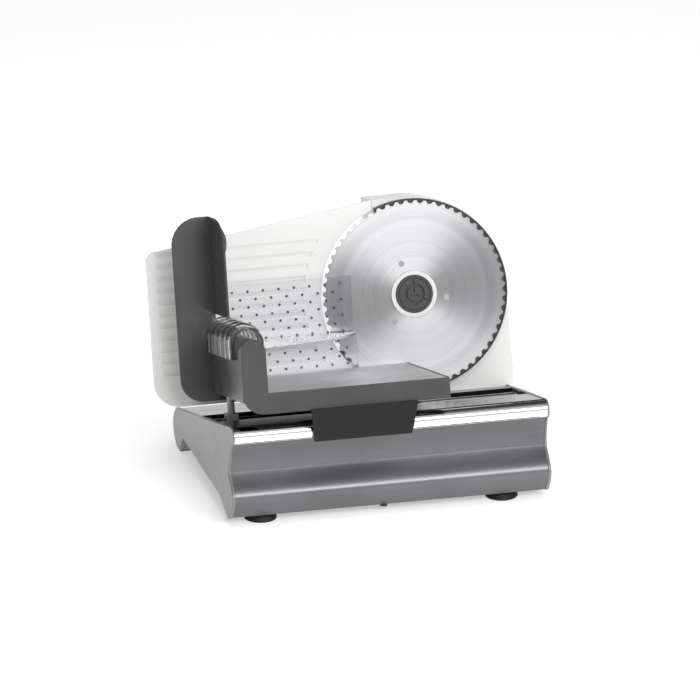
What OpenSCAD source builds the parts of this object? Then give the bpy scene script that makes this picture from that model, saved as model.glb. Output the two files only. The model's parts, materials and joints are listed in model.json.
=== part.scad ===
// Household food slicer. A wedge base leans everything above it backwards. A round toothed
// blade turns in a motor housing on the right, a ribbed thickness plate stands left of the
// blade, and a carriage with a tray, a thumb guard and a clear pusher slides past them.
// Deck frame: x runs along the base, u runs back along the sloping deck, v stands up from it.

/* [Base] */
// Length of the base over both end caps
base_len = 351; // [345:1:360]
// Height of the deck's front edge above the ground
front_h = 112; // [112:1:118]
// Backward lean of the deck, in degrees
tilt = 16; // [15:0.5:17]
// Thickness of an end cap
cap_t = 4.5; // [4:0.5:6]
// Radius of a suction foot
foot_r = 17.5; // [15:0.5:18]

/* [Blade] */
// Radius over the blade's teeth
blade_r = 100.4; // [98:0.1:100.4]
// Thickness of the blade
blade_t = 1.2; // [1:0.1:1.4]
// Number of scallops round the edge
tooth_count = 60; // [48:4:72]
// Radius of one scallop
gullet_r = 3.4; // [2.5:0.1:3.6]

/* [Drive] */
// Teeth on the worm wheel, one millimetre module
wheel_teeth = 60; // [60:1:60]
// Radius of the motor can
motor_r = 22; // [18:1:22]

/* [Carriage] */
// Left end of the carriage
carriage_left = -161; // [-162:1:-160]
// Right end of the carriage
carriage_right = 64; // [60:1:66]
// Height of the tray surface above the deck
tray_v = 35; // [34:0.5:36]
// Width of the hollow side wall
wall_w = 27.5; // [26:0.5:28]

/* [Thickness plate] */
// Left end of the thickness plate
plate_left = -214; // [-216:1:-212]
// Distance from one rib of the plate to the next
rib_pitch = 12.7; // [12:0.1:14]

/* [Hidden] */
$fn = 64;

gap = 0.3;
fit = 0.05;
wall_t = 2.5;
in_half = base_len / 2 - cap_t;

// The part's origin is under the middle of its bounding box.
datum_x = 17;
datum_y = -129;

foot_xs = [-136, 128];
foot_y = 17.5;

// Deck and base
foot_block_w = 9.5;
gland_at = [120, -80];
deck_start = 4;
deck_end = 246;
channel_u0 = 72;
channel_u1 = 147;
channel_depth = 14;
rod_u_pos = 110;
rod_v_pos = -5;
rod_r = 4;

// Blade and housing
blade_x = 75.2;
blade_v = 107.9;
blade_u = 166;
housing_x0 = 37;
housing_x1 = 180;
housing_r = 104;
face_u = 171;
split_u = 205;
back_u = 230;
ring_start = -90;
ring_sweep = 202;
screw_circle = 35.5;
screw_angles = [109.6, -10.4, 229.6];
spindle_r = 5;

// Drive
wheel_r = wheel_teeth / 2;
worm_lead = 3.14159265;
worm_turns = 8;
worm_mean_r = 7.5;
worm_wave = 0.9;
worm_v = blade_v - wheel_r - 8.1;
worm_u = 196;
shaft_r = 4;
motor_x0 = 108;
motor_x1 = 158;

// Thickness plate and its guides
plate_u = 171;
plate_t = 3;
plate_clear_r = 101.2;
plate_right = 35.8;
plate_low = 9;
plate_top_v = 211.7;
plate_shoulder = [-200, 177];
plate_corner_top = 12;
plate_corner_low = 27;
guide_v = 26;
guide_xs = [-2, 24];
guide_r = 4;
knob_x = 11;
lead_screw_r = 4;

// Carriage
wall_x0 = carriage_left;
wall_x1 = carriage_left + wall_w;
wall_mid = carriage_left + wall_w / 2;
wall_r = wall_w / 2;
wall_top_v = 79.5;
carriage_front = -20;
carriage_back = 163;
wall_back = 125.7;
band_low = 13;
band_corner = 22;
slider_xs = [-146, 10];
slider_w = 12;

// Pusher
saddle_r = wall_r + gap;
saddle_t = 3.5;
saddle_u0 = 4;
saddle_u1 = 124;
saddle_pitch = 22;
saddle_leg = 71;
saddle_top_v = 87.5;
push_x0 = wall_x1 + 0.5;
push_x1 = 5;
push_low = 35.5;
push_top = 134.5;
push_step = 72;
push_u = 160;
push_low_u = 149;
push_t = 2.5;
arm_x = wall_mid + saddle_r + saddle_t;
web_x = arm_x + 3.2;
spike_pitch = 17;
spike_row = 8.5;

// Buttons on the housing's back
power_at = [140, 140];
safety_at = [112, 150];

// Rises from 0 to 1, steep at once and level at its end.
function swell(t) = 0.85 * t * (1 - t) * (1 - t) + t * t * (3 - 2 * t);
function bend(a, b, c, n = 8) = [for (i = [0:n]) let(t = i / n)
    (1 - t) * (1 - t) * a + 2 * t * (1 - t) * b + t * t * c];
function shifted(points, d) = [for (p = points) p + d];
function reversed(points) = [for (i = [len(points) - 1:-1:0]) points[i]];

// The front's wave, from under the rail to the bottom edge, as [y, z] from the deck's front edge.
rail_at = [-4, -9];
rail_r = 9;
rail_end_z = -18;
hollow_z = -53;
bulge_z = -77;
panel_end_z = -101;
wave = concat(
    [for (i = [0:8]) [-5 + 9.4 * sin(90 * i / 8), rail_end_z + (hollow_z - rail_end_z) * i / 8]],
    [for (i = [1:8]) [4.4 - 19.9 * swell(i / 8), hollow_z + (bulge_z - hollow_z) * i / 8]],
    [for (i = [1:8]) [-15.5 + 13.5 * (1 - cos(90 * i / 8)),
        bulge_z + (panel_end_z - bulge_z) * i / 8]]);

module upright() translate([datum_x, datum_y, front_h]) children();
module tilted() upright() rotate([-tilt, 0, 0]) children();
module along_u(u0, long) translate([0, u0 + long, 0]) rotate([90, 0, 0]) linear_extrude(long) children();
module along_x(x0, long) translate([x0, 0, 0]) rotate([90, 0, 90]) linear_extrude(long) children();
module rod_u(x, v, u0, u1, r) translate([x, u0, v]) rotate([-90, 0, 0]) cylinder(h = u1 - u0, r = r);
module rod_x(u, v, x0, x1, r) translate([x0, u, v]) rotate([0, 90, 0]) cylinder(h = x1 - x0, r = r);
module rod_v(x, u, v0, v1, r) translate([x, u, v0]) cylinder(h = v1 - v0, r = r);
module block(low, high) translate(low) cube(high - low);
// A turned shape round the u axis through (x, v): profile points are [radius, u].
module turned(x, v, profile) translate([x, 0, v]) rotate([-90, 0, 0]) rotate_extrude() polygon(profile);
module at_blade() translate([blade_x, 0, blade_v]) children();

// ---------------------------------------------------------------- base

module deck_cover() color([0.05, 0.05, 0.05]) tilted() along_x(-in_half, 2 * in_half) polygon([
    [deck_start, 0], [channel_u0, 0], [channel_u0, -channel_depth], [channel_u1, -channel_depth],
    [channel_u1, 0], [deck_end, 0], [deck_end, -wall_t], [channel_u1 + wall_t, -wall_t],
    [channel_u1 + wall_t, -channel_depth - wall_t], [channel_u0 - wall_t, -channel_depth - wall_t],
    [channel_u0 - wall_t, -wall_t], [deck_start, -wall_t]]);

module front_rail() color([0.85, 0.85, 0.87]) upright() along_x(-in_half, 2 * in_half) difference() {
    union() {
        translate(rail_at) circle(rail_r);
        translate([rail_at[0], rail_end_z]) square([3.5, 2 * rail_r]);
    }
    translate(rail_at) circle(rail_r - 1.5);
    for (a = [208, 232]) translate(rail_at + rail_r * [cos(a), sin(a)]) circle(0.5);
}

module front_panel() color([0.55, 0.55, 0.56]) upright() along_x(-in_half, 2 * in_half) union() {
    polygon(concat(wave, reversed(shifted(wave, [1.8, 0]))));
    polygon([[-2, panel_end_z], [6, panel_end_z], [6, -91.5], [7.5, -91.5],
        [7.5, panel_end_z - 1.5], [-1, panel_end_z - 1.5]]);
}

cap_outline = concat(
    [[0, 0.9]], bend([238, -67.4], [254, -79], [252, -92]), bend([251.5, -94], [248, -108], [231, -111]),
    bend([222, -111], [214, -104], [208, -91.5]), [[40, -91.5], [1, -104], [-2.5, -102.5]],
    reversed(shifted(wave, [-1, 0])),
    [for (i = [0:8]) rail_at + (rail_r + 0.8) * [cos(250 - 20 * i), sin(250 - 20 * i)]]);

module end_cap(side) color([0.5, 0.5, 0.5]) upright() union() {
    along_x(side > 0 ? in_half : -in_half - cap_t, cap_t) polygon(cap_outline);
    along_x(side > 0 ? in_half - foot_block_w : -in_half, foot_block_w) polygon(concat(
        bend([238, -84], [250, -84], [249, -92]), bend([249, -94], [246, -107], [231, -110.9]),
        bend([222, -110.9], [214, -104], [212, -90])));
}
module end_cap_left() end_cap(-1);
module end_cap_right() end_cap(1);

module bottom_plate() color([0.2, 0.2, 0.2]) upright() difference() {
    block([-in_half, 7.5, -91.5], [in_half, 232, -90]);
    for (x = foot_xs) rod_v(x, foot_y, -93, -88, 2.4);
    for (s = [-1, 1]) translate([s * in_half - foot_block_w, 211.9, -93]) cube([2 * foot_block_w, 25, 5]);
}

module back_panel() color([0.2, 0.2, 0.2]) upright() difference() {
    block([-in_half, 232, -91.5], [in_half, 234, -69.9]);
    for (s = [-1, 1]) translate([s * in_half - foot_block_w, 230, -93]) cube([2 * foot_block_w, 6, 8.2]);
    translate([gland_at[0], 230, gland_at[1]]) rotate([-90, 0, 0]) cylinder(h = 8, r = 7);
}

module suction_foot() rotate_extrude() polygon([[0, 4], [8, 3.2], [foot_r - 2, 0], [foot_r, 0],
    [foot_r - 0.4, 2.6], [foot_r - 3.5, 7], [9.6, 9.3], [9.6, 20.5], [2, 20.5], [2, 9], [0, 9]]);
module suction_feet() color([0.05, 0.05, 0.05]) upright()
    for (x = foot_xs) translate([x, foot_y, -front_h]) suction_foot();

module feet_screws() color([0.7, 0.7, 0.7]) upright() for (x = foot_xs) {
    rod_v(x, foot_y, -102.5, -90, 2);
    rod_v(x, foot_y, -90, -87.5, 4.5);
}

module rear_pads() color([0.05, 0.05, 0.05]) upright()
    for (s = [-1, 1]) translate([s * (in_half - 2.5) - 6, 222, -front_h]) cube([12, 9, 1]);

module slide_rod() color([0.8, 0.8, 0.8]) tilted() rod_x(rod_u_pos, rod_v_pos, -in_half, in_half, rod_r);

module rod_holders() color([0.15, 0.15, 0.15]) tilted() difference() {
    for (s = [-1, 1]) translate([s * (in_half - 1.5) - 1.5, rod_u_pos - 9, -channel_depth])
        cube([3, 18, channel_depth]);
    rod_x(rod_u_pos, rod_v_pos, -in_half - 1, in_half + 1, rod_r);
}

module base_screws() color([0.7, 0.7, 0.7]) upright() for (x = [-150, 0, 150], y = [60, 200]) {
    rod_v(x, y, -93.5, -91.5, 4);
    rod_v(x, y, -91.5, -91, 2);
}

module centre_stub() color([0.05, 0.05, 0.05]) upright() rod_v(-5, 2.5, -105, -102.5, 4.2);

module cord_gland() color([0.08, 0.08, 0.08]) upright() translate([gland_at[0], 0, gland_at[1]])
    rotate([-90, 0, 0]) rotate_extrude() polygon([[3.5, 229], [9.5, 229], [9.5, 232], [7, 232],
        [7, 234], [9.5, 234], [9.5, 237], [7.5, 240], [6, 246], [3.5, 246]]);

// ---------------------------------------------------------------- motor housing

module housing_shape(inset) {
    intersection() {
        translate([blade_x, blade_v]) circle(housing_r - inset);
        translate([housing_x0 + inset, 0]) square([200, 220]);
    }
    polygon([[housing_x0 + inset, blade_v], [housing_x0 + inset, plate_top_v - 0.2 - inset],
        [housing_x0 + 29, plate_top_v - 0.2 - inset], [blade_x, blade_v]]);
    polygon([[housing_x0 + inset, inset], [in_half - 0.5, inset], [in_half - 0.5, inset + 1.2],
        [housing_x1 - inset, inset + 1.2],
        [housing_x1 - 2.4 - inset, blade_v], [housing_x0 + inset, blade_v]]);
}

housing_bosses = [[52, 18], [166, 18], [52, 185], [140, 170]];

module housing_front() color([0.93, 0.93, 0.93]) tilted() difference() {
    along_u(face_u, split_u - face_u) housing_shape(0);
    difference() {
        along_u(face_u + wall_t, split_u) housing_shape(wall_t);
        for (b = housing_bosses) rod_u(b[0], b[1], face_u, split_u, 5);
    }
    at_blade() rod_u(0, 0, face_u - 1, split_u, 34);
    for (b = housing_bosses) rod_u(b[0], b[1], face_u + 4, split_u + 1, 1.6);
}

module housing_rear() color([0.9, 0.9, 0.9]) tilted() difference() {
    union() {
        along_u(split_u, back_u - 6 - split_u) housing_shape(0);
        along_u(back_u - 6, 6) housing_shape(4);
    }
    difference() {
        along_u(split_u - 1, back_u - wall_t - split_u + 1) housing_shape(wall_t + 3);
        for (b = housing_bosses) rod_u(b[0], b[1], split_u, back_u, 5);
    }
    for (b = housing_bosses) {
        rod_u(b[0], b[1], split_u - 1, back_u + 1, 2.2);
        rod_u(b[0], b[1], split_u + 8, back_u + 1, 4.2);
    }
    for (k = [0:6]) translate([104, back_u - 5, 44 + 7 * k]) cube([56, 8, 3]);
    rod_u(power_at[0], power_at[1], back_u - 5, back_u + 1, 9.2);
    rod_u(safety_at[0], safety_at[1], back_u - 5, back_u + 1, 6.2);
}

module housing_screws() color([0.7, 0.7, 0.7]) tilted() for (b = housing_bosses) {
    rod_u(b[0], b[1], face_u + 20, split_u + 8, 1.6);
    rod_u(b[0], b[1], split_u + 8, split_u + 10.5, 3.8);
}

// L-shaped section: a floor behind the teeth and a lip outside them.
module guard_ring() color([0.06, 0.06, 0.06]) tilted() at_blade() translate([0, face_u, 0])
    rotate([90, 0, 0]) rotate([0, 0, ring_start]) rotate_extrude(angle = ring_sweep) polygon([
        [93, 0], [102.6, 0], [102.6, 5.5], [101, 5.5], [101, 3], [93, 3]]);

module blade_spindle() color([0.75, 0.75, 0.75]) tilted() at_blade() union() {
    rod_u(0, 0, 169.5, back_u - wall_t, spindle_r);
    rod_u(0, 0, 221.5, 224.5, 8);
}

module spindle_plate() color([0.6, 0.6, 0.6]) tilted() difference() {
    block([46, 224.5, 84], [102, back_u - wall_t, 131]);
    at_blade() rod_u(0, 0, 220, 230, spindle_r);
}

module motor_can() color([0.5, 0.5, 0.52]) tilted() difference() {
    rod_x(worm_u, worm_v, motor_x0, motor_x1, motor_r);
    rod_x(worm_u, worm_v, motor_x0 + 1.5, motor_x1 - 1.5, motor_r - 1.5);
    rod_x(worm_u, worm_v, motor_x0 - 1, motor_x1 + 1, 8);
    for (a = [0:60:300]) translate([motor_x1 - 8, worm_u, worm_v]) rotate([a, 0, 0])
        translate([0, 0, motor_r - 3]) cylinder(h = 6, r = 2.5);
}

module bearing(x) difference() {
    rod_x(worm_u, worm_v, x, x + 5, 8);
    rod_x(worm_u, worm_v, x - 1, x + 6, shaft_r + fit);
}
module motor_bearings() color([0.8, 0.8, 0.8]) tilted() {
    bearing(motor_x0 - 1.5);
    bearing(motor_x1 - 3.5);
}

module motor_bracket() color([0.6, 0.6, 0.6]) tilted() difference() {
    union() {
        block([103, 175, 44], [106, back_u - wall_t, 93]);
        block([103, 224.5, 44], [118, back_u - wall_t, 93]);
    }
    rod_x(worm_u, worm_v, 100, 110, 8.2);
}

module worm_bush() color([0.7, 0.55, 0.3]) tilted() difference() {
    block([46, 186, 59], [54, back_u - wall_t, 79]);
    rod_x(worm_u, worm_v, 40, 60, shaft_r + fit);
}

module switch_body() color([0.1, 0.1, 0.1]) tilted() {
    for (b = [[power_at, 11], [safety_at, 8]]) {
        block([b[0][0] - b[1], 202, b[0][1] - 8], [b[0][0] + b[1], 215, b[0][1] + 8]);
        for (s = [-1, 1]) translate([b[0][0] + s * (b[1] + 1) - 1.5, 205, b[0][1] - 5])
            cube([3, back_u - wall_t - 205, 10]);
    }
}

// Low pedestal behind the slices' landing space: it holds the thickness plate's two guide rods.
module guide_pedestal() color([0.15, 0.15, 0.15]) tilted() difference() {
    union() {
        block([-10, 218, 0], [32, 232, 40]);
        block([-14, 212, 0], [36, 238, 5]);
    }
    for (x = guide_xs) rod_u(x, guide_v, 210, 240, guide_r);
    rod_u(knob_x, guide_v, 210, 240, lead_screw_r + fit);
}

module guide_rods() color([0.8, 0.8, 0.8]) tilted()
    for (x = guide_xs) rod_u(x, guide_v, 186, 232, guide_r);

// ---------------------------------------------------------------- blade

module blade() color([0.75, 0.75, 0.76]) tilted() difference() {
    turned(blade_x, blade_v, [[25.3, blade_u], [blade_r, blade_u], [blade_r, blade_u + 0.3],
        [blade_r - 6, blade_u + blade_t], [25.3, blade_u + blade_t]]);
    at_blade() for (k = [0:tooth_count - 1]) rotate([0, (k + 0.25) * 360 / tooth_count, 0])
        rod_u(blade_r + 0.2, 0, blade_u - 1, blade_u + 3, gullet_r);
    at_blade() for (a = screw_angles) rod_u(screw_circle * cos(a), screw_circle * sin(a),
        blade_u - 1, blade_u + 3, 2.2);
}

wheel_face = [190, 202];
module blade_hub() color([0.93, 0.93, 0.92]) tilted() difference() {
    union() {
        turned(blade_x, blade_v, [[20.7, 165.4], [25, 165.4], [25, blade_u + blade_t],
            [40, blade_u + blade_t], [40, 170.4], [27, 170.4], [27, wheel_face[1]],
            [7, wheel_face[1]], [7, 170.5], [20.7, 170.5]]);
        at_blade() along_u(wheel_face[0], wheel_face[1] - wheel_face[0]) difference() {
            polygon([for (k = [0:wheel_teeth - 1], p = [[-2, 28.7], [-0.8, 31], [0.8, 31], [2, 28.7]])
                let(a = -90 + k * 360 / wheel_teeth + p[0] * 360 / wheel_teeth / 4.4)
                p[1] * [cos(a), sin(a)]]);
            circle(26);
        }
    }
    at_blade() rod_u(0, 0, 160, 210, spindle_r + 1.5);
    difference() {
        at_blade() rod_u(0, 0, 175, 203, 23.5);
        at_blade() rod_u(0, 0, 170, 204, 9);
    }
    at_blade() rod_u(0, 0, 160, 170.5, 20.7);
    at_blade() for (a = screw_angles) rod_u(screw_circle * cos(a), screw_circle * sin(a), 165, 172, 1.6);
}

module blade_screws() color([0.9, 0.9, 0.9]) tilted() at_blade() for (a = screw_angles)
    translate([screw_circle * cos(a), 0, screw_circle * sin(a)]) difference() {
        union() {
            rod_u(0, 0, 165.4, 166, 3.2);
            rod_u(0, 0, 165.8, 170.2, 1.6);
        }
        block([-2.2, 165, -0.4], [2.2, 165.7, 0.4]);
        block([-0.4, 165, -2.2], [0.4, 165.7, 2.2]);
    }

module hub_bushes() color([0.75, 0.58, 0.3]) tilted() at_blade() for (u = [171, 194]) difference() {
    rod_u(0, 0, u, u + 8, spindle_r + 1.5);
    rod_u(0, 0, u - 1, u + 9, spindle_r + fit);
}

// Cup-shaped knob, flush with the hub's nose: a rim, an inner ring and three spokes.
module lock_knob() color([0.2, 0.2, 0.2]) tilted() at_blade() difference() {
    rod_u(0, 0, 165.5, 169, 20.6);
    difference() {
        rod_u(0, 0, 164, 167.8, 17);
        rod_u(0, 0, 164, 168, 11.2);
    }
    rod_u(0, 0, 164, 167.8, 8.4);
    for (a = [30, 150, 270]) rotate([0, a, 0]) translate([0, 164, 0]) difference() {
        translate([0, 0, -2]) cube([11, 3.8, 4]);
        translate([-1, -1, -3]) cube([9.2, 6, 6]);
    }
}

// ---------------------------------------------------------------- motor rotor

module motor_shaft() color([0.75, 0.75, 0.75]) tilted() rod_x(worm_u, worm_v, 44, 170, shaft_r);

module worm() color([0.8, 0.65, 0.35]) tilted() translate([blade_x, worm_u, worm_v]) rotate([0, 90, 0])
    difference() {
        linear_extrude(worm_lead * worm_turns, center = true, twist = -360 * worm_turns,
            slices = 14 * worm_turns) translate([worm_wave, 0]) circle(worm_mean_r, $fn = 24);
        cylinder(h = 40, r = shaft_r, center = true);
    }

module armature() color([0.7, 0.4, 0.2]) tilted() difference() {
    union() {
        rod_x(worm_u, worm_v, 118, 144, 16);
        rod_x(worm_u, worm_v, 114, 148, 12);
    }
    for (k = [0:11]) translate([131, worm_u, worm_v]) rotate([30 * k, 0, 0])
        translate([-20, -0.8, 12.5]) cube([40, 1.6, 5]);
    rod_x(worm_u, worm_v, 110, 150, shaft_r);
}

module motor_fan() color([0.2, 0.2, 0.2]) tilted() difference() {
    union() {
        rod_x(worm_u, worm_v, 161, 168, 6.5);
        rod_x(worm_u, worm_v, 161, 162.5, 19);
        for (k = [0:8]) translate([162, worm_u, worm_v]) rotate([40 * k, 0, 0]) translate([0, -0.6, 5])
            cube([5.5, 1.2, 13.5]);
    }
    rod_x(worm_u, worm_v, 150, 175, shaft_r);
}

// ---------------------------------------------------------------- thickness plate

module plate_shape() difference() {
    union() {
        polygon([[plate_left + plate_corner_low, plate_low], [plate_right, plate_low],
            [plate_right, plate_top_v], plate_shoulder,
            [plate_left + plate_corner_top, 165], [plate_left, 165],
            [plate_left, plate_low + plate_corner_low],
            [plate_left + plate_corner_low, plate_low + plate_corner_low]]);
        translate([plate_left + plate_corner_top, 165.1]) circle(plate_corner_top);
        translate([plate_left + plate_corner_low, plate_low + plate_corner_low]) circle(plate_corner_low);
    }
    translate([blade_x, blade_v]) circle(plate_clear_r, $fn = 128);
}

module thickness_plate() color([0.94, 0.94, 0.93]) tilted() difference() {
    along_u(plate_u, plate_t) plate_shape();
    difference() {
        for (k = [0:10]) block([plate_left + 10, plate_u - 1, 43 + rib_pitch * k],
            [plate_right, plate_u + 0.5, 43 + rib_pitch * k + 5]);
        rod_u(blade_x, blade_v, plate_u - 2, plate_u + 2, 120);
    }
}

module plate_carrier() color([0.85, 0.85, 0.85]) tilted() difference() {
    union() {
        block([-12, plate_u + plate_t, 12], [34.5, plate_u + plate_t + 4, 40]);
        for (x = [guide_xs[0], knob_x, guide_xs[1]]) rod_u(x, guide_v, plate_u + plate_t, 200, 6.4);
    }
    for (x = guide_xs) rod_u(x, guide_v, 170, 202, 5);
    rod_u(knob_x, guide_v, 170, 202, lead_screw_r + fit);
}

module carrier_bushes() color([0.75, 0.58, 0.3]) tilted() for (x = guide_xs) difference() {
    rod_u(x, guide_v, 186, 200, 5);
    rod_u(x, guide_v, 185, 201, guide_r + fit);
}

module lead_screw() color([0.75, 0.75, 0.75]) tilted() rod_u(knob_x, guide_v, 187, 244, lead_screw_r);

module thickness_knob() color([0.12, 0.12, 0.12]) tilted() difference() {
    union() {
        rod_u(knob_x, guide_v, 240.2, 243, 21);
        rod_u(knob_x, guide_v, 243, 257, 18.5);
    }
    for (k = [0:17]) translate([knob_x, 0, guide_v]) rotate([0, 20 * k, 0])
        rod_u(18.8, 0, 243.5, 258, 1.6);
    rod_u(knob_x, guide_v, 235, 244, lead_screw_r);
}

// ---------------------------------------------------------------- carriage

module l_shape() {
    translate([wall_mid, wall_top_v]) circle(wall_r);
    translate([wall_x0, tray_v]) square([wall_w, wall_top_v - tray_v]);
    translate([wall_x0 + band_corner, band_low]) square([carriage_right - wall_x0 - band_corner,
        tray_v - band_low]);
    intersection() {
        translate([wall_x0 + band_corner, tray_v]) circle(band_corner);
        translate([wall_x0, band_low]) square([band_corner + 1, band_corner + 1]);
    }
}

// Upright sides under a half circle of radius r centred at height top.
module arch(r, low, top) {
    intersection() {
        translate([wall_mid, top]) circle(r);
        translate([wall_mid - r, top - 1]) square([2 * r, r + 1]);
    }
    translate([wall_mid - r, low]) square([2 * r, top - low]);
}

module carriage_frame() color([0.22, 0.22, 0.23]) tilted() difference() {
    union() {
        along_u(carriage_front, 3.5) l_shape();
        difference() {
            along_u(carriage_front + 1, wall_back - carriage_front - 1) arch(wall_r, 26.5, wall_top_v);
            along_u(carriage_front + 3.5, wall_back - carriage_front - 6.5)
                arch(wall_r - 3, 20, wall_top_v);
        }
        block([wall_x1 - 3, carriage_front + 2, 31], [carriage_right - 2.5, carriage_back, 34]);
        block([wall_x1 - 3, wall_back - 1, 16], [wall_x1, carriage_back, 34]);
        block([wall_x1 - 3, carriage_back - 3, 16], [carriage_right, carriage_back, 34]);
        block([carriage_right - 3, carriage_front + 2, band_low], [carriage_right, carriage_back, 34]);
        for (u = [40, 90]) block([wall_x1 - 3, u, 22], [carriage_right - 1, u + 2.5, 32]);
        block([wall_x0 + 1, 103, 27], [wall_x1 - 2, 117, 34]);
        rod_v(slider_xs[1], rod_u_pos, 22, 32, 8);
    }
    for (x = slider_xs) rod_v(x, rod_u_pos, 10, 30, 4);
}

module food_tray() color([0.6, 0.6, 0.6]) tilted()
    block([wall_x1, carriage_front + 3.5, 34], [carriage_right - 2.5, 165, tray_v]);

module tray_trim() color([0.12, 0.12, 0.12]) tilted()
    block([carriage_right - 2.5, carriage_front + 3.5, 34], [carriage_right, 165, 35.4]);

// Blank plate that hangs from the carriage in front of the rail.
module badge_plate() color([0.1, 0.1, 0.1]) upright() intersection() {
    along_x(-100, 140) polygon([[-20.4, 20], [-18.2, -2], [-17.2, -10], [-14.6, -19], [-12.6, -18.4],
        [-15.2, -10], [-16.1, -2], [-18.2, 20]]);
    rotate([90, 0, 0]) linear_extrude(60) polygon([[-89.5, 20], [27.5, 20], [22, -20], [-84.5, -20]]);
}

module guard_shape() {
    translate([-165, 184]) circle(30);
    translate([-195, 41]) square([43, 143]);
    translate([-165, 150]) square([13, 64]);
    translate([-171, 41]) circle(24);
    translate([-171, 17]) square([19, 30]);
    translate([-153, 17]) square([153 + wall_x1 - 3, 60]);
}
module thumb_guard() color([0.2, 0.2, 0.2]) tilted() union() {
    along_u(126, 3) guard_shape();
    along_x(-154.5, 2.5) polygon(concat([[127, 110], [127, 214]],
        bend([103, 214], [66, 213], [59, 189]), [[59, 110]]));
}

module slider_blocks() color([0.15, 0.15, 0.15]) tilted() for (x = slider_xs) difference() {
    union() {
        block([x - slider_w / 2, rod_u_pos - 9, -11.5], [x + slider_w / 2, rod_u_pos + 9, 4]);
        rod_v(x, rod_u_pos, 3, 30, 4);
    }
    rod_x(rod_u_pos, rod_v_pos, x - 10, x + 10, 6);
}

module slider_bushes() color([0.75, 0.58, 0.3]) tilted() for (x = slider_xs) difference() {
    rod_x(rod_u_pos, rod_v_pos, x - slider_w / 2, x + slider_w / 2, 6);
    rod_x(rod_u_pos, rod_v_pos, x - 10, x + 10, rod_r + fit);
}

module glide_pads() color([0.9, 0.9, 0.88]) tilted()
    for (x = [-60, 0]) rod_v(x, 30, gap, 31, 5);

module carriage_screws() color([0.7, 0.7, 0.7]) tilted() for (v = [42, 72]) {
    rod_u(wall_mid, v, 129, 131, 3.5);
    rod_u(wall_mid, v, 116, 130, 1.6);
}

// ---------------------------------------------------------------- pusher

module pusher_saddle() color([0.75, 0.75, 0.78, 0.4]) tilted() difference() {
    union() {
        along_u(saddle_u0, saddle_u1 - saddle_u0) arch(saddle_r + saddle_t, saddle_leg, saddle_top_v);
        for (k = [0:4]) along_u(saddle_u0 + 14 + saddle_pitch * k, 12)
            arch(saddle_r + saddle_t + 3, saddle_leg + 4, saddle_top_v);
    }
    along_u(saddle_u0 - 1, saddle_u1 - saddle_u0 + 2) arch(saddle_r, saddle_leg - 1, saddle_top_v);
}

module pusher_plate() color([0.8, 0.8, 0.82, 0.35]) tilted() union() {
    block([push_x0, push_u, push_step], [push_x1, push_u + push_t, push_top]);
    block([push_x0, push_low_u, push_low], [push_x1, push_low_u + push_t, push_step]);
    translate([0, 0, push_step]) linear_extrude(2.5) polygon(concat([[web_x, 60],
        [web_x, push_u + push_t], [push_x1, push_u + push_t]],
        bend([push_x1, push_low_u], [-30, 80], [web_x + 3, 60])));
    block([arm_x, saddle_u1 - 3, saddle_leg], [web_x + 0.5, push_u + push_t, saddle_top_v]);
}

module spike(x, u, v) translate([x, u, v]) rotate([-90, 0, 0])
    rotate_extrude($fn = 16) polygon([[0, 0], [1.5, 0], [0.2, 2.2], [0, 2.2]]);
module pusher_spikes() color([0.25, 0.25, 0.25]) tilted() for (k = [0:10]) {
    v = push_low + 6 + spike_row * k;
    u = v < push_step ? push_low_u + push_t : push_u + push_t;
    for (j = [0:7]) {
        x = push_x0 + 8 + spike_pitch * j + (k % 2) * spike_pitch / 2;
        if (x < push_x1 - 3 && abs(v - push_step) > 2) spike(x, u, v);
    }
}

// ---------------------------------------------------------------- buttons

module push_button(at, r) {
    rod_u(at[0], at[1], 220.5, back_u + 3, r);
    rod_u(at[0], at[1], 220.5, 222.5, r + 1.2);
}
module power_button() color([0.1, 0.1, 0.1]) tilted() push_button(power_at, 9);
module safety_button() color([0.5, 0.05, 0.05]) tilted() push_button(safety_at, 6);
module button_springs() color([0.7, 0.7, 0.7]) tilted() {
    for (b = [[power_at, 6], [safety_at, 4]]) for (k = [0:2])
        translate([b[0][0], 215.5 + 0.95 * k, b[0][1]]) rotate([-90, 0, 0]) rotate_extrude()
            translate([b[1], 0]) circle(0.5, $fn = 16);
}

deck_cover();
front_panel();
front_rail();
end_cap_left();
end_cap_right();
bottom_plate();
back_panel();
suction_feet();
feet_screws();
rear_pads();
slide_rod();
rod_holders();
base_screws();
centre_stub();
cord_gland();
housing_front();
housing_rear();
guard_ring();
housing_screws();
blade_spindle();
spindle_plate();
motor_can();
motor_bearings();
motor_bracket();
worm_bush();
switch_body();
guide_pedestal();
guide_rods();
blade();
blade_hub();
blade_screws();
hub_bushes();
lock_knob();
motor_shaft();
worm();
armature();
motor_fan();
thickness_plate();
plate_carrier();
carrier_bushes();
thickness_knob();
lead_screw();
carriage_frame();
food_tray();
tray_trim();
badge_plate();
thumb_guard();
slider_blocks();
slider_bushes();
glide_pads();
carriage_screws();
pusher_saddle();
pusher_plate();
pusher_spikes();
power_button();
safety_button();
button_springs();
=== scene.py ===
import json
import math

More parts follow.
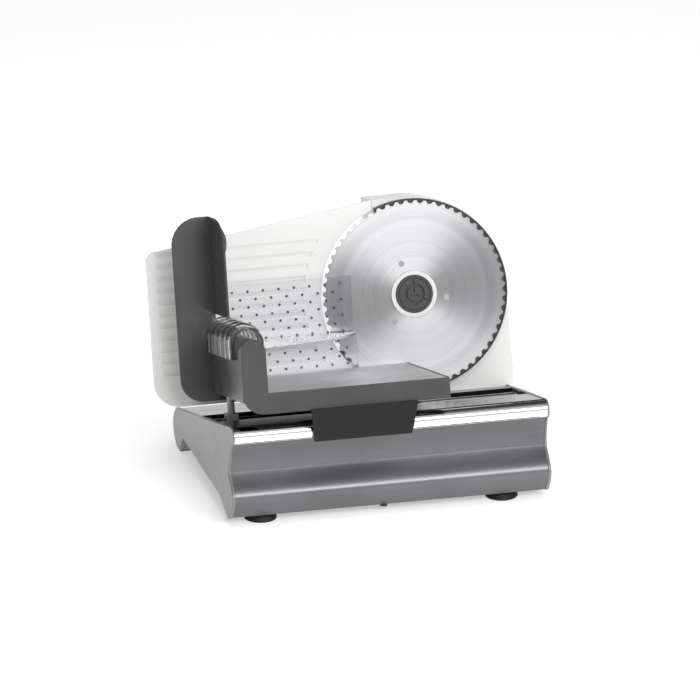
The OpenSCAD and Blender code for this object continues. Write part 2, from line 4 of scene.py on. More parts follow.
import bmesh
import bpy
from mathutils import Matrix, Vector

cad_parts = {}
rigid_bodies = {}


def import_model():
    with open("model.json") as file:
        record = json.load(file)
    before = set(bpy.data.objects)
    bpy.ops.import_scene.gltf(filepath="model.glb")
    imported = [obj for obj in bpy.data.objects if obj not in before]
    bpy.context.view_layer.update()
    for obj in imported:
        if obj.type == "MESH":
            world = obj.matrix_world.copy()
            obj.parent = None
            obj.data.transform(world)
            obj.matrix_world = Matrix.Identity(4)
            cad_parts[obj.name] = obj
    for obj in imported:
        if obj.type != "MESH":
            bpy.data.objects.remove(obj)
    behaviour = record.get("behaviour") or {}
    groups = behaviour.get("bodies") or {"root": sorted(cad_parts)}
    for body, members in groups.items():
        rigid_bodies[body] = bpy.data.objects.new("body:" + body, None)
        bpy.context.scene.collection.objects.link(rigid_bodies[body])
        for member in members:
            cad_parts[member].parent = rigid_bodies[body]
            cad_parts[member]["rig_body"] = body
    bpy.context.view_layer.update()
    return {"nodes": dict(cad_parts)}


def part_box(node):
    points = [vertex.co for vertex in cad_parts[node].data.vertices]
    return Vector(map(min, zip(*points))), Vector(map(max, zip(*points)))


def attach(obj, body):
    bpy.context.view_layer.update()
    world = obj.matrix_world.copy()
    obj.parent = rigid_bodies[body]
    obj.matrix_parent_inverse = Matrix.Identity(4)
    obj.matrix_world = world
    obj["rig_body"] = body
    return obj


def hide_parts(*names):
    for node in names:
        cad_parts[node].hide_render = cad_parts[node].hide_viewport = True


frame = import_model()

# ---------------------------------------------------------------- places and sizes, in mm
MM = 0.001
LEAN = math.radians(16)
BACK_FACE_Y = 234
BOTTOM_PLATE_Z = -90
IN_HALF = 171
CAP_T = 4.5
FOOT_BLOCK_W = 9.5
RAIL = (-4, -9)
RAIL_R = 9
RAIL_T = 1.5
PANEL_T = 1.8
WAVE_TOP = (-5, -18)
HOLLOW = (4.4, -53)
BULGE = (-15.5, -77)
WAVE_FOOT = (-2, -101)
BLADE = (75.2, 107.9)
BLADE_U = 166
BLADE_R = 100.4
BLADE_T = 1.2
BLADE_HOLE_R = 25.3
TEETH = 60
GULLET_R = 3.4
KNOB_TURNS = 96
SADDLE_MID = -147.25
PLATE_U = 171
RIB_PITCH = 12.7

base_x = (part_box("end_cap_left")[0].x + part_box("end_cap_right")[1].x) / 2
base_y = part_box("back_panel")[1].y - BACK_FACE_Y * MM
base_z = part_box("bottom_plate")[1].z - BOTTOM_PLATE_Z * MM


def upright(x, y, z):
    """A point from the deck's front edge, with z straight up, in metres in the row frame."""
    return Vector((base_x + x * MM, base_y + y * MM, base_z + z * MM))


def deck(x, u, v):
    """A point of the leaning deck frame: u runs back along the deck and v stands up from it."""
    return upright(x, u * math.cos(LEAN) + v * math.sin(LEAN), v * math.cos(LEAN) - u * math.sin(LEAN))


# ---------------------------------------------------------------- finishes
# The sum of the two noises mostly stays in this span.
NOISE_LOW, NOISE_HIGH = 0.7, 1.3


def linear(code):
    """An sRGB hex colour as the linear values that the shader takes."""
    parts = [int(code[i:i + 2], 16) / 255 for i in (0, 2, 4)]
    return [c / 12.92 if c <= 0.04045 else ((c + 0.055) / 1.055) ** 2.4 for c in parts] + [1]


def add(tree, kind, inputs=None, **settings):
    """Adds one node, sets it up, and fills or links its inputs by name or number."""
    node = tree.nodes.new(kind)
    for name, value in settings.items():
        setattr(node, name, value)
    for key, value in (inputs or {}).items():
        if isinstance(value, bpy.types.NodeSocket):
            tree.links.new(value, node.inputs[key])
        else:
            node.inputs[key].default_value = value
    return node


def material(name, colour, other, metallic=0.0, roughness=(0.3, 0.4), grain=(1, 1, 1), size=1.0,
             bump=0.05, bump_mm=0.05, uv=None, anisotropy=0.0, transmission=0.0, patch_mm=60.0,
             specular=0.5, glow=0.0):
    """One surface: fine grain of a real size in mm, stretched by grain, over slow patches, in the
    colour, the roughness and the bump. With a UV layer, the grain and the anisotropy follow it."""
    made = bpy.data.materials.new(name)
    made.use_nodes = True
    tree = made.node_tree
    tree.nodes.clear()
    if uv:
        place = add(tree, "ShaderNodeUVMap", uv_map=uv).outputs[0]
    else:
        place = add(tree, "ShaderNodeTexCoord").outputs["Object"]
    stretched = add(tree, "ShaderNodeMapping", {"Vector": place, "Scale": grain}).outputs[0]
    fine = add(tree, "ShaderNodeTexNoise", {"Vector": stretched, "Scale": 1 / (size * MM), "Detail": 3.0,
                                            "Roughness": 0.6}).outputs[0]
    slow = add(tree, "ShaderNodeTexNoise", {"Vector": place, "Scale": 1 / (patch_mm * MM),
                                            "Detail": 2.0}).outputs[0]
    both = add(tree, "ShaderNodeMath", {0: fine, 1: slow}, operation="ADD").outputs[0]
    span = {0: both, 1: NOISE_LOW, 2: NOISE_HIGH}
    share = add(tree, "ShaderNodeMapRange", span).outputs[0]
    tint = add(tree, "ShaderNodeMix", {0: share, 6: linear(colour), 7: linear(other)},
               data_type="RGBA").outputs[2]
    rough = add(tree, "ShaderNodeMapRange", {**span, 3: roughness[0], 4: roughness[1]}).outputs[0]
    raised = add(tree, "ShaderNodeBump", {"Strength": bump, "Distance": bump_mm * MM,
                                          "Height": fine}).outputs[0]
    shader = add(tree, "ShaderNodeBsdfPrincipled", {
        "Base Color": tint, "Roughness": rough, "Normal": raised, "Metallic": metallic, "IOR": 1.5,
        "Transmission Weight": transmission, "Anisotropic": anisotropy, "Specular IOR Level": specular,
        "Emission Color": linear("ffffff"), "Emission Strength": glow})
    if uv:
        line = add(tree, "ShaderNodeTangent", direction_type="UV_MAP", uv_map=uv).outputs[0]
        tree.links.new(line, shader.inputs["Tangent"])
        shader.inputs["Anisotropic Rotation"].default_value = 0.25
    surface = shader.outputs[0]
    if transmission:
        lamp_ray = add(tree, "ShaderNodeLightPath").outputs["Is Shadow Ray"]
        passed = add(tree, "ShaderNodeBsdfTransparent", {"Color": linear(other)}).outputs[0]
        surface = add(tree, "ShaderNodeMixShader", {0: lamp_ray, 1: surface, 2: passed}).outputs[0]
    add(tree, "ShaderNodeOutputMaterial", {"Surface": surface})
    return made


# Moulded ABS straight from a polished tool: dark, glossy, with faint flow patches.
BLACK_GLOSS = material("gloss_moulded_abs_black", "0a0a0b", "101011", roughness=(0.14, 0.2), size=1.2,
                       bump=0.02, patch_mm=40, specular=0.3)
# Moulded ABS from a finely etched tool: dark grey, satin, with a fine pebble.
GREY_ABS = material("satin_moulded_abs_dark_grey", "404041", "464647", roughness=(0.22, 0.3), size=0.5,
                    bump=0.06, patch_mm=50)
BADGE_ABS = material("satin_moulded_abs_badge", "0e0e0f", "121213", roughness=(0.28, 0.36), size=0.5,
                     bump=0.05, specular=0.3)
# Silver-grey painted ABS: satin, with a very fine orange peel.
CAP_ABS = material("satin_painted_abs_grey", "7c7c7e", "868688", roughness=(0.26, 0.34), size=0.8,
                   bump=0.05, specular=0.6, metallic=0.25)
# Polished white ABS: bright, with a soft gloss.
WHITE_ABS = material("polished_moulded_abs_white", "e8e8e6", "eeeeec", roughness=(0.16, 0.24), size=2.0,
                     bump=0.02, patch_mm=80)
# Stainless sheet brushed along its length: long fine streaks, drawn 0.5 mm apart to show.
PANEL_STEEL = material("brushed_stainless_sheet", "6c6c6e", "7c7c7e", metallic=1.0, roughness=(0.32, 0.40),
                       grain=(0.012, 1, 1), size=0.5, bump=0.25, bump_mm=0.02, patch_mm=90)
TRAY_STEEL = material("brushed_stainless_tray", "6e6e70", "808082", metallic=1.0, roughness=(0.26, 0.36),
                      grain=(0.012, 1, 1), size=0.5, bump=0.2, bump_mm=0.02, patch_mm=90)
# Chrome plate on drawn tube: a mirror with the faintest haze.
CHROME = material("chrome_plated_tube", "e6e6e8", "ededef", metallic=1.0, roughness=(0.05, 0.09),
                  grain=(0.02, 1, 1), size=1.0, bump=0.03, bump_mm=0.01)
# Circular ground stainless: grooves run round the blade, so light fans out from its centre. Its layer
# counts the radius in mm where the others count in metres, so its sizes are a thousand times as large.
BLADE_STEEL = material("circular_ground_stainless", "9c9c9e", "b4b4b6", metallic=1.0,
                       roughness=(0.28, 0.36), grain=(0.6, 1, 1), size=1000 / 0.9, bump=0.12,
                       bump_mm=0.02, uv="round", anisotropy=0.85, patch_mm=1000 * 20)
# Turned steel on spindles, rods and screws.
TURNED_STEEL = material("turned_steel", "b8b8ba", "cacacc", metallic=1.0, roughness=(0.16, 0.26),
                        size=0.6, bump=0.05, bump_mm=0.02)
ZINC = material("zinc_plated_steel", "a8a8ac", "bcbcc0", metallic=1.0, roughness=(0.28, 0.40), size=0.8,
                bump=0.1)
BRONZE = material("sintered_bronze", "a8803f", "c09650", metallic=1.0, roughness=(0.35, 0.5), size=0.3,
                  bump=0.2)
COPPER = material("varnished_copper_winding", "8a4a24", "b4683a", metallic=0.8, roughness=(0.25, 0.4),
                  size=0.8, grain=(0.1, 1, 1), bump=0.4, bump_mm=0.1)
RUBBER = material("moulded_rubber", "070707", "101010", roughness=(0.55, 0.7), size=0.4, bump=0.2)
NYLON = material("natural_nylon", "d9d8d0", "e4e3dc", roughness=(0.4, 0.5), size=0.6, bump=0.1)
BLACK_ABS = material("satin_moulded_abs_black", "141414", "1b1b1b", roughness=(0.35, 0.45), size=0.5,
                     bump=0.08)
RED_ABS = material("gloss_moulded_abs_red", "7c1010", "8a1515", roughness=(0.18, 0.26), size=0.8,
                   bump=0.03)
# Polished polycarbonate.
CLEAR = material("clear_polycarbonate", "e4e4e6", "e9e9eb", roughness=(0.02, 0.05), size=3.0, bump=0.01,
                 transmission=1.0)
# The white sheet it stands on, with a little light of its own so that it stays white.
PAPER = material("matt_white_paper", "f6f6f6", "f8f8f8", roughness=(0.8, 0.9), size=2.0, bump=0.02,
                 specular=0.0, glow=0.45)


# ---------------------------------------------------------------- making pieces
def linked(name, data):
    """A new object in the scene that holds the given mesh, lamp or camera."""
    obj = bpy.data.objects.new(name, data)
    bpy.context.scene.collection.objects.link(obj)
    return obj


def settle(obj, name, body, nodes, finish):
    """Turns a modelled object into one plain mesh with one finish, on its CAD body, for its CAD nodes."""
    graph = bpy.context.evaluated_depsgraph_get()
    mesh = bpy.data.meshes.new_from_object(obj.evaluated_get(graph), preserve_all_data_layers=True,
                                           depsgraph=graph)
    old = obj.data
    bpy.data.objects.remove(obj)
    bpy.data.meshes.remove(old)
    mesh.name = name
    mesh.materials.clear()
    mesh.materials.append(finish)
    piece = linked(name, mesh)
    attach(piece, body)
    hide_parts(*nodes)


def rounded(obj, edge_mm, corner=35, steps=2):
    """Small radii on every corner sharper than the given angle, with flat faces kept flat."""
    obj.data.shade_smooth()
    obj.data.set_sharp_from_angle(angle=math.radians(corner))
    if edge_mm:
        bevel = obj.modifiers.new("edges", "BEVEL")
        bevel.limit_method = "ANGLE"
        bevel.angle_limit = math.radians(corner)
        bevel.width = edge_mm * MM
        bevel.segments = steps
        bevel.use_clamp_overlap = True
        bevel.miter_outer = "MITER_ARC"
    even = obj.modifiers.new("even", "WEIGHTED_NORMAL")
    even.keep_sharp = True
    return obj


def shell(name, points, faces):
    """A closed mesh from points in metres, doubles merged and faces turned outwards."""
    mesh = bpy.data.meshes.new(name)
    mesh.from_pydata([tuple(p) for p in points], [], faces)
    model = bmesh.new()
    model.from_mesh(mesh)
    bmesh.ops.remove_doubles(model, verts=model.verts, dist=1e-6)
    bmesh.ops.recalc_face_normals(model, faces=model.faces)
    model.to_mesh(mesh)
    model.free()
    return linked(name, mesh)


def whole_faces(name, source):
    """A new object with the source mesh's corners merged and its flat faces made whole."""
    model = bmesh.new()
    model.from_mesh(source)
    bmesh.ops.remove_doubles(model, verts=model.verts, dist=2e-6)
    bmesh.ops.dissolve_limit(model, angle_limit=math.radians(0.6), verts=model.verts, edges=model.edges)
    mesh = bpy.data.meshes.new(name)
    model.to_mesh(mesh)
    model.free()
    return linked(name, mesh)


def refined(node, finish, edge_mm):
    """A CAD node's own shape with whole flat faces and rounded edges."""
    source = frame["nodes"][node]
    settle(rounded(whole_faces(node, source.data), edge_mm), node + "_piece", source["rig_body"], [node],
           finish)


def walls(start, count):
    """The side faces between two loops of points that follow each other."""
    return [(start + i, start + (i + 1) % count, start + count + (i + 1) % count, start + count + i)
            for i in range(count)]


def ends(start, count):
    """The two faces that close a pair of loops."""
    return [tuple(range(start, start + count)), tuple(range(start + count, start + 2 * count))]


def lofted(name, rings, joined=False, capped=False):
    """One skin over rings of equal length: the last ring joined to the first, or both ends capped."""
    if joined:
        rings = rings + [rings[0]]
    count = len(rings[0])
    points = [p for ring in rings for p in ring]
    faces = [face for r in range(len(rings) - 1) for face in walls(r * count, count)]
    if capped:
        faces += [tuple(range(count)), tuple(range(len(points) - count, len(points)))]
    return shell(name, points, faces)


def lathe(name, profile, count, joined=False):
    """A skin turned round the blade's axis through (radius, u) points. A radius may also be a function of
    the angle."""
    rings = []
    for radius, u in profile:
        turned = []
        for i in range(count):
            angle = 2 * math.pi * i / count
            r = radius(angle) if callable(radius) else radius
            turned.append(deck(BLADE[0] + r * math.cos(angle), u, BLADE[1] + r * math.sin(angle)))
        rings.append(turned)
    return lofted(name, rings, joined)


def carved(body, cutter):
    """The body with the cutter's volume taken out, as a new object with whole flat faces."""
    cut = body.modifiers.new("cut", "BOOLEAN")
    cut.operation, cut.object, cut.solver = "DIFFERENCE", cutter, "EXACT"
    mesh = bpy.data.meshes.new_from_object(body.evaluated_get(bpy.context.evaluated_depsgraph_get()))
    bpy.data.objects.remove(body)
    bpy.data.objects.remove(cutter)
    return whole_faces("carved", mesh)


# ---------------------------------------------------------------- base
def swell(t):
    """Rises from 0 to 1, steep at once and level at its end."""
    return 0.85 * t * (1 - t) ** 2 + t * t * (3 - 2 * t)


def eased(start, end, ease, steps):
    """The points after start on the way to end: z in even steps, y as ease says."""
    shares = [i / steps for i in range(1, steps + 1)]
    return [(start[0] + (end[0] - start[0]) * ease(t), start[1] + (end[1] - start[1]) * t)
            for t in shares]


# The front's wave, from under the rail into the hollow, out to the bulge and down to the bottom edge.
WAVE = ([WAVE_TOP] + eased(WAVE_TOP, HOLLOW, lambda t: math.sin(math.pi / 2 * t), 24)
        + eased(HOLLOW, BULGE, swell, 24)
        + eased(BULGE, WAVE_FOOT, lambda t: 1 - math.cos(math.pi / 2 * t), 16))


def made_front_panel():
    """The wave in sheet, with a lip turned up behind its bottom edge."""
    section = WAVE + [(-1, -102.5), (7.5, -102.5), (7.5, -91.5), (6, -91.5), (6, -100.6)]
    section += [(y + PANEL_T, z) for y, z in reversed(WAVE)]
    rings = [[upright(x, y, z) for y, z in section] for x in (-IN_HALF, IN_HALF)]
    settle(rounded(lofted("front_panel_skin", rings, capped=True), 0, 30), "front_panel_skin", "base",
           ["front_panel"], PANEL_STEEL)


def rail_point(radius, degrees):
    """A point (y, z) round the front rail's axis."""
    angle = math.radians(degrees)
    return RAIL[0] + radius * math.cos(angle), RAIL[1] + radius * math.sin(angle)


def made_front_rail():
    """A tube with two fine grooves low on its front."""
    grooves, groove_half, groove_deep, count = (208, 232), 3.2, 0.5, 240
    step = 360 / count
    outer, inner = [], []
    for i in range(count):
        spread = [max(0.0, 1 - ((i * step - g) / groove_half) ** 2) for g in grooves]
        depth = groove_deep * sum(share ** 0.5 for share in spread)
        outer.append(rail_point(RAIL_R - depth, i * step))
        inner.append(rail_point(RAIL_R - RAIL_T, i * step))
    rings = [[upright(x, y, z) for y, z in ring] for x, ring in
             ((-IN_HALF, inner), (-IN_HALF, outer), (IN_HALF, outer), (IN_HALF, inner))]
    settle(rounded(lofted("rail", rings, joined=True), 0, 40), "front_rail_tube", "base", ["front_rail"],
           CHROME)


def bend(a, b, c, steps=12):
    """A curve from a to c that leans towards b."""
    shares = [i / steps for i in range(steps + 1)]
    return [tuple((1 - t) ** 2 * p + 2 * t * (1 - t) * q + t * t * r for p, q, r in zip(a, b, c))
            for t in shares]


def made_end_cap(side, node):
    """A cap whose outer face breaks along a slanting crease: the part in front of it leans inwards."""
    crease_top, crease_low, lean_in = Vector((90.5, -25.1)), Vector((1, -104)), 2.6
    behind = [tuple(crease_top)] + bend((238, -67.4), (254, -79), (252, -92))
    behind += bend((251.5, -94), (248, -108), (231, -111)) + bend((222, -111), (214, -104), (208, -91.5))
    behind += [(40, -91.5), tuple(crease_low)]
    ahead = [(-2.5, -102.5)] + [(y - 1, z) for y, z in WAVE[-3::-1]]
    ahead += [rail_point(RAIL_R + 0.8, 250 - 8 * i) for i in range(21)] + [(0, 0.9)]
    outline = behind + ahead
    across = (crease_low - crease_top).orthogonal().normalized()
    offsets = [0] * len(behind) + [abs(across.dot(Vector(p) - crease_top)) for p in ahead]
    face_x, back_x = side * (IN_HALF + CAP_T), side * IN_HALF
    count = len(outline)
    points = [upright(face_x - side * lean_in * d / max(offsets), y, z)
              for d, (y, z) in zip(offsets, outline)]
    points += [upright(back_x, y, z) for y, z in outline]
    last = len(behind) - 1
    faces = [tuple(range(len(behind))), (0,) + tuple(range(last, count)),
             tuple(range(count, 2 * count))]
    faces += walls(0, count)
    foot = bend((238, -84), (250, -84), (249, -92)) + bend((249, -94), (246, -107), (231, -110.9))
    foot += bend((222, -110.9), (214, -104), (212, -90))
    faces += ends(len(points), len(foot)) + walls(len(points), len(foot))
    for x in (back_x, back_x - side * FOOT_BLOCK_W):
        points += [upright(x, y, z) for y, z in foot]
    cap = rounded(shell(node, points, faces), 1.1, 35, 3)
    crease = [upright(face_x, *crease_top), upright(face_x, *crease_low)]
    for edge in cap.data.edges:
        spots = [cap.data.vertices[v].co for v in edge.vertices]
        if all(min((spot - end).length for end in crease) < 1e-5 for spot in spots):
            edge.use_edge_sharp = True
    settle(cap, node + "_piece", "base", [node], CAP_ABS)


made_front_panel()
made_front_rail()
made_end_cap(-1, "end_cap_left")
made_end_cap(1, "end_cap_right")
for part, finish, edge, slot in (
        ("deck_cover", BLACK_GLOSS, 0.5, "black_gloss"), ("back_panel", BLACK_ABS, 0.3, "black_plastic"),
        ("suction_feet", RUBBER, 0.5, "rubber"), ("rear_pads", RUBBER, 0.3, "rubber"),
        ("rod_holders", BLACK_ABS, 0.4, "black_plastic"), ("cord_gland", RUBBER, 0.4, "rubber"),
        ("housing_front", WHITE_ABS, 1.0, "white_plastic"),
        ("housing_rear", WHITE_ABS, 1.0, "white_plastic"),
        ("guard_ring", GREY_ABS, 0.25, "black_plastic"),
        ("guide_pedestal", BLACK_ABS, 0.6, "black_plastic")):
    refined(part, finish, edge)


# ---------------------------------------------------------------- blade and hub
def edge_radius(angle):
    """The toothed outline: a round gullet in each tooth pitch."""
    pitch = 2 * math.pi / TEETH
    off = (angle / pitch - 0.25) % 1 - 0.5
    centre_r = BLADE_R + 0.2
    side = centre_r * math.sin(off * pitch)
    if abs(side) < GULLET_R:
        return min(BLADE_R, centre_r * math.cos(off * pitch) - math.sqrt(GULLET_R ** 2 - side ** 2))
    return BLADE_R


def made_blade():
    """A disc with a toothed edge, bevelled behind, and a layer of its turns and its radius in mm."""
    front_u, back_u = BLADE_U, BLADE_U + BLADE_T
    profile = [(BLADE_HOLE_R, front_u), (45, front_u), (70, front_u), (90, front_u),
               (edge_radius, front_u), (edge_radius, front_u + 0.3), (94.4, back_u), (60, back_u),
               (BLADE_HOLE_R, back_u)]
    disc = lathe("blade_disc", profile, TEETH * 16, joined=True)
    layer = disc.data.uv_layers.new(name="round")
    for face in disc.data.polygons:
        spots = []
        for loop in face.loop_indices:
            p = disc.data.vertices[disc.data.loops[loop].vertex_index].co
            across = p.x - deck(BLADE[0], 0, 0).x
            rel = p - deck(BLADE[0], 0, BLADE[1])
            up = rel.y * math.sin(LEAN) + rel.z * math.cos(LEAN)
            spots.append((loop, math.atan2(up, across) / (2 * math.pi), math.hypot(across, up) / MM))
        top = max(s[1] for s in spots)
        for loop, turn, radius in spots:
            layer.data[loop].uv = (turn + 1 if top - turn > 0.5 else turn, radius)
    settle(rounded(disc, 0, 30), "blade_disc", "blade", ["blade"], BLADE_STEEL)


made_blade()
refined("blade_hub", WHITE_ABS, 0.35)
refined("blade_screws", TURNED_STEEL, 0.12)


def made_lock_knob():
    """A flat round knob with a deep ring groove, a fine line inside its rim and three radial grooves."""
    profile = [(0, 165.6), (7.5, 165.6), (7.8, 168.3), (11.1, 168.3), (11.4, 165.7), (16.5, 165.7),
               (16.8, 166.6), (17.6, 166.6), (17.9, 165.5), (20.3, 165.5), (20.6, 165.8), (20.6, 169),
               (0, 169)]
    groove_half, groove_start, groove_end, groove_u = 0.75, 1.5, 15.5, (165, 167.9)
    points, faces = [], []
    for k in range(3):
        along = Vector((math.cos(math.radians(90 + 120 * k)), math.sin(math.radians(90 + 120 * k))))
        aside = along.orthogonal() * groove_half
        corners = [along * groove_start - aside, along * groove_end - aside, along * groove_end + aside,
                   along * groove_start + aside]
        faces += ends(len(points), 4) + walls(len(points), 4)
        points += [deck(BLADE[0] + c.x, u, BLADE[1] + c.y) for u in groove_u for c in corners]
    whole = carved(lathe("knob", profile, KNOB_TURNS), shell("grooves", points, faces))
    settle(rounded(whole, 0.15, 30), "lock_knob_piece", "lock_knob", ["lock_knob"], GREY_ABS)


made_lock_knob()


# ---------------------------------------------------------------- thickness plate
def made_plate():
    """The CAD plate with its grooves cut deeper, each with a floor that leans downwards."""
    first_v, tall, deep_low, deep_high, end_r, left = 42.95, 5.6, 1.7, 0.55, 120, -204
    points, faces = [], []
    for k in range(11):
        low = first_v + RIB_PITCH * k
        faces += ends(len(points), 4) + walls(len(points), 4)
        for v, deep in ((low, deep_low), (low + tall, deep_high)):
            right = BLADE[0] - math.sqrt(end_r ** 2 - (v - BLADE[1]) ** 2)
            points += [deck(x, u, v) for x, u in ((left, PLATE_U - 1), (right, PLATE_U - 1),
                                                  (right, PLATE_U + deep), (left, PLATE_U + deep))]
    source = frame["nodes"]["thickness_plate"]
    whole = carved(linked("plate", source.data.copy()), shell("grooves", points, faces))
    settle(rounded(whole, 0.2, 10), "thickness_plate_piece", source["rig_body"], ["thickness_plate"],
           WHITE_ABS)


made_plate()
refined("plate_carrier", WHITE_ABS, 0.5)
refined("thickness_knob", BLACK_ABS, 0.6)

# ---------------------------------------------------------------- carriage
refined("carriage_frame", GREY_ABS, 0.8)
refined("thumb_guard", GREY_ABS, 0.7)
refined("badge_plate", BADGE_ABS, 0.5)
refined("food_tray", TRAY_STEEL, 0.25)
refined("tray_trim", BLACK_ABS, 0.3)
refined("slider_blocks", NYLON, 0.5)


# ---------------------------------------------------------------- pusher
def made_saddle():
    """The saddle's ribbed arch, with rounded ribs like bellows."""
    inner_r, wall, foot_v, centre_v, arc = 14.05, 3.5, 71, 87.5, 28
    start, end, steps = 4, 124, 240
    first_rib, last_rib, rib_pitch, rib_high = 13, 123, 22, 3.0

    def arch(radius, u):
        leg = [(radius, foot_v), (radius, (foot_v + centre_v) / 2)]
        turns = [math.pi * i / arc for i in range(arc + 1)]
        top = [(SADDLE_MID - radius * math.cos(t), centre_v + radius * math.sin(t)) for t in turns]
        left, right = [(SADDLE_MID - x, v) for x, v in leg], [(SADDLE_MID + x, v) for x, v in leg[::-1]]
        return [deck(x, u, v) for x, v in left + top + right]

    rings = [arch(inner_r, start)]
    for i in range(steps + 1):
        u = start + (end - start) * i / steps
        inside = first_rib < u < last_rib
        rib = rib_high * math.sin(math.pi * (u - first_rib) / rib_pitch) ** 2 if inside else 0.0
        rings.append(arch(inner_r + wall + rib, u))
    rings.append(arch(inner_r, end))
    # The arch is open below, so the skin runs over its loops from one foot to the other.
    loops = list(zip(*rings))
    settle(rounded(lofted("saddle", loops, capped=True), 0, 35), "pusher_saddle_arch", "pusher",
           ["pusher_saddle"], CLEAR)


made_saddle()
refined("pusher_plate", CLEAR, 0.3)


def spike_field():
    """A node group that stands one blunt spike on every point and gives them all one finish."""
    group = bpy.data.node_groups.new("spike_field", "GeometryNodeTree")
    face = group.interface
    face.new_socket("Points", in_out="INPUT", socket_type="NodeSocketGeometry")
    keys = {}
    for label, kind in (("Foot radius", "NodeSocketFloat"), ("Tip radius", "NodeSocketFloat"),
                        ("Height", "NodeSocketFloat"), ("Turn", "NodeSocketVector"),
                        ("Finish", "NodeSocketMaterial")):
        keys[label] = face.new_socket(label, in_out="INPUT", socket_type=kind).identifier
    face.new_socket("Spikes", in_out="OUTPUT", socket_type="NodeSocketGeometry")
    given = add(group, "NodeGroupInput").outputs
    cone = add(group, "GeometryNodeMeshCone", {
        "Vertices": 20, "Radius Bottom": given["Foot radius"], "Radius Top": given["Tip radius"],
        "Depth": given["Height"]})
    placed = add(group, "GeometryNodeInstanceOnPoints", {
        "Points": given["Points"], "Instance": cone.outputs["Mesh"], "Rotation": given["Turn"]}).outputs[0]
    real = add(group, "GeometryNodeRealizeInstances", {0: placed}).outputs[0]
    coated = add(group, "GeometryNodeSetMaterial", {
        "Geometry": real, "Material": given["Finish"]}).outputs[0]
    add(group, "NodeGroupOutput", {0: coated})
    return group, keys


def made_spikes():
    """Staggered rows of spikes on both steps of the pusher's face."""
    first_v, first_x, last_x, row_pitch, spike_pitch = 41.5, -125, 2, 8.5, 17
    step_v, step_clear, low_u, high_u = 72, 2, 151.5, 162.5
    spots = []
    for k in range(11):
        v = first_v + row_pitch * k
        for j in range(8):
            x = first_x + spike_pitch * (j + k % 2 / 2)
            if x < last_x and abs(v - step_v) > step_clear:
                spots.append(deck(x, low_u if v < step_v else high_u, v))
    mesh = bpy.data.meshes.new("spike_spots")
    mesh.from_pydata(spots, [], [])
    obj = linked("spike_spots", mesh)
    group, keys = spike_field()
    field = obj.modifiers.new("spikes", "NODES")
    field.node_group = group
    for label, value in (("Foot radius", 1.5 * MM), ("Tip radius", 0.3 * MM), ("Height", 2.2 * MM),
                         ("Turn", (-math.pi / 2 - LEAN, 0, 0)), ("Finish", BLACK_ABS)):
        field[keys[label]] = value
    settle(obj, "pusher_spikes_piece", "pusher", ["pusher_spikes"], BLACK_ABS)


made_spikes()
refined("power_button", BLACK_ABS, 0.5)
refined("safety_button", RED_ABS, 0.5)

# ---------------------------------------------------------------- nodes that stay as they are
STAYS = {TURNED_STEEL: ("slide_rod", "blade_spindle", "guide_rods", "motor_shaft", "lead_screw",
                        "motor_bearings", "button_springs"),
         ZINC: ("feet_screws", "base_screws", "housing_screws", "carriage_screws", "spindle_plate",
                "motor_can", "motor_bracket"),
         BRONZE: ("worm_bush", "hub_bushes", "worm", "carrier_bushes", "slider_bushes"),
         COPPER: ("armature",), NYLON: ("glide_pads",),
         BLACK_ABS: ("bottom_plate", "centre_stub", "switch_body", "motor_fan")}
for finish, names in STAYS.items():
    for name in names:
        mesh = frame["nodes"][name].data
        mesh.materials.clear()
        mesh.materials.append(finish)

# ---------------------------------------------------------------- studio
FLOOR_HALF = 6
sheet = bpy.data.meshes.new("studio_floor")
sheet.from_pydata([(x * FLOOR_HALF, y * FLOOR_HALF, 0) for x, y in ((-1, -1), (1, -1), (1, 1), (-1, 1))],
                  [], [(0, 1, 2, 3)])
sheet.materials.append(PAPER)
floor = linked("studio_floor", sheet)

world = bpy.data.worlds.new("studio")
bpy.context.scene.world = world
world.use_nodes = True
room = world.node_tree
room.nodes.clear()


def ramp(factor, stops):
    """A grey level that follows the (place, level) stops."""
    made = add(room, "ShaderNodeValToRGB", {0: factor})
    band = made.color_ramp
    band.elements[0].position, band.elements[1].position = stops[0][0], stops[-1][0]
    for spot, _ in stops[1:-1]:
        band.elements.new(spot)
    for element, (_, level) in zip(sorted(band.elements, key=lambda e: e.position), stops):
        element.color = (level, level, level, 1)
    return made.outputs[0]


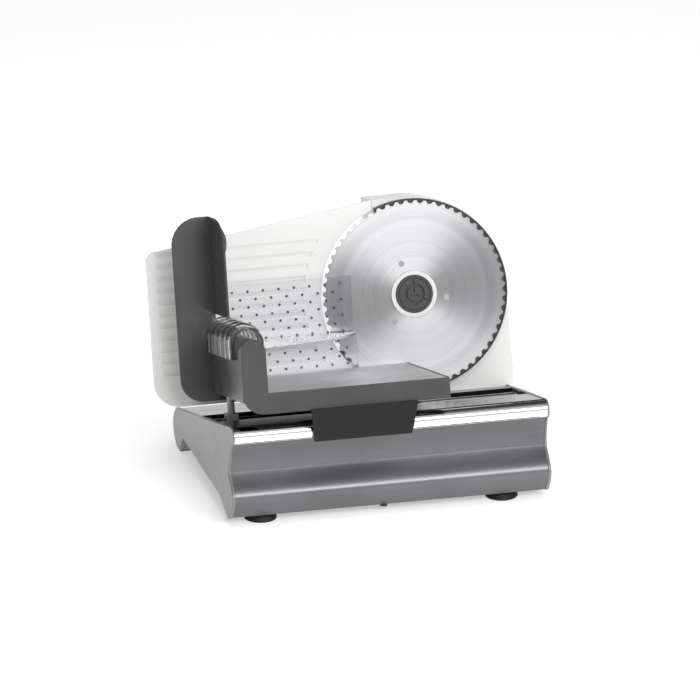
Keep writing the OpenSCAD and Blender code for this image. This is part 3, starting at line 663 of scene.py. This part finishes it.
# The chrome mirrors a bright wall in front, and a dark ceiling that comes down to the horizon behind.
split = add(room, "ShaderNodeSeparateXYZ", {0: add(room, "ShaderNodeTexCoord").outputs["Generated"]})
side, depth, rise = split.outputs
front = ramp(rise, ((0.0, 0.78), (0.75, 0.78), (0.93, 0.5), (1.0, 0.08)))
behind = ramp(rise, ((0.0, 0.03), (1.0, 0.06)))
turn = add(room, "ShaderNodeMapRange", {0: depth, 1: -0.15, 2: 0.25}).outputs[0]
wall = add(room, "ShaderNodeMix", {0: turn, 6: front, 7: behind}, data_type="RGBA").outputs[2]
lit = add(room, "ShaderNodeMapRange", {0: side, 1: -0.9, 2: 0.2, 3: 0.25, 4: 1.0}).outputs[0]
light = add(room, "ShaderNodeBackground", {"Color": wall, "Strength": lit})
add(room, "ShaderNodeOutputWorld", {"Surface": light.outputs[0]})


def softbox(name, spot, aim, width, height, power, mirrored):
    """An area lamp, in metres and watts, that the camera does not see."""
    lamp = bpy.data.lights.new(name, "AREA")
    lamp.shape, lamp.size, lamp.size_y, lamp.energy = "RECTANGLE", width, height, power
    obj = linked(name, lamp)
    obj.location = spot
    obj.rotation_euler = (Vector(aim) - Vector(spot)).to_track_quat("-Z", "Y").to_euler()
    obj.visible_camera = False
    obj.visible_glossy = mirrored


softbox("key_front_right", (0.45, -1.9, 1.25), (0, 0, 0.12), 1.5, 0.6, 21, True)
softbox("top", (0.1, 0.0, 2.0), (0, 0, 0.1), 1.8, 1.8, 20, False)

# ---------------------------------------------------------------- camera
BACK = Vector((-0.2238, -0.9044, 0.3633)).normalized()
RIGHT = Vector((0.9707, -0.2402, 0)).normalized()
RISE = BACK.cross(RIGHT)
LENS, SENSOR, FRAME_PX, PX_PER_MM = 1000, 36, 700, 0.943
AIM_RIGHT, AIM_RISE = -41.1, 67.3
reach = LENS / SENSOR * FRAME_PX / PX_PER_MM * MM
aim = upright(0, 0, 0) + (AIM_RIGHT * RIGHT + AIM_RISE * RISE) * MM
lens = bpy.data.cameras.new("camera")
lens.lens, lens.sensor_width, lens.clip_end = LENS, SENSOR, 100
camera = linked("camera", lens)
camera.location = aim + BACK * reach
camera.rotation_euler = BACK.to_track_quat("Z", "Y").to_euler()
bpy.context.scene.camera = camera
bpy.context.scene.view_settings.view_transform = "Standard"
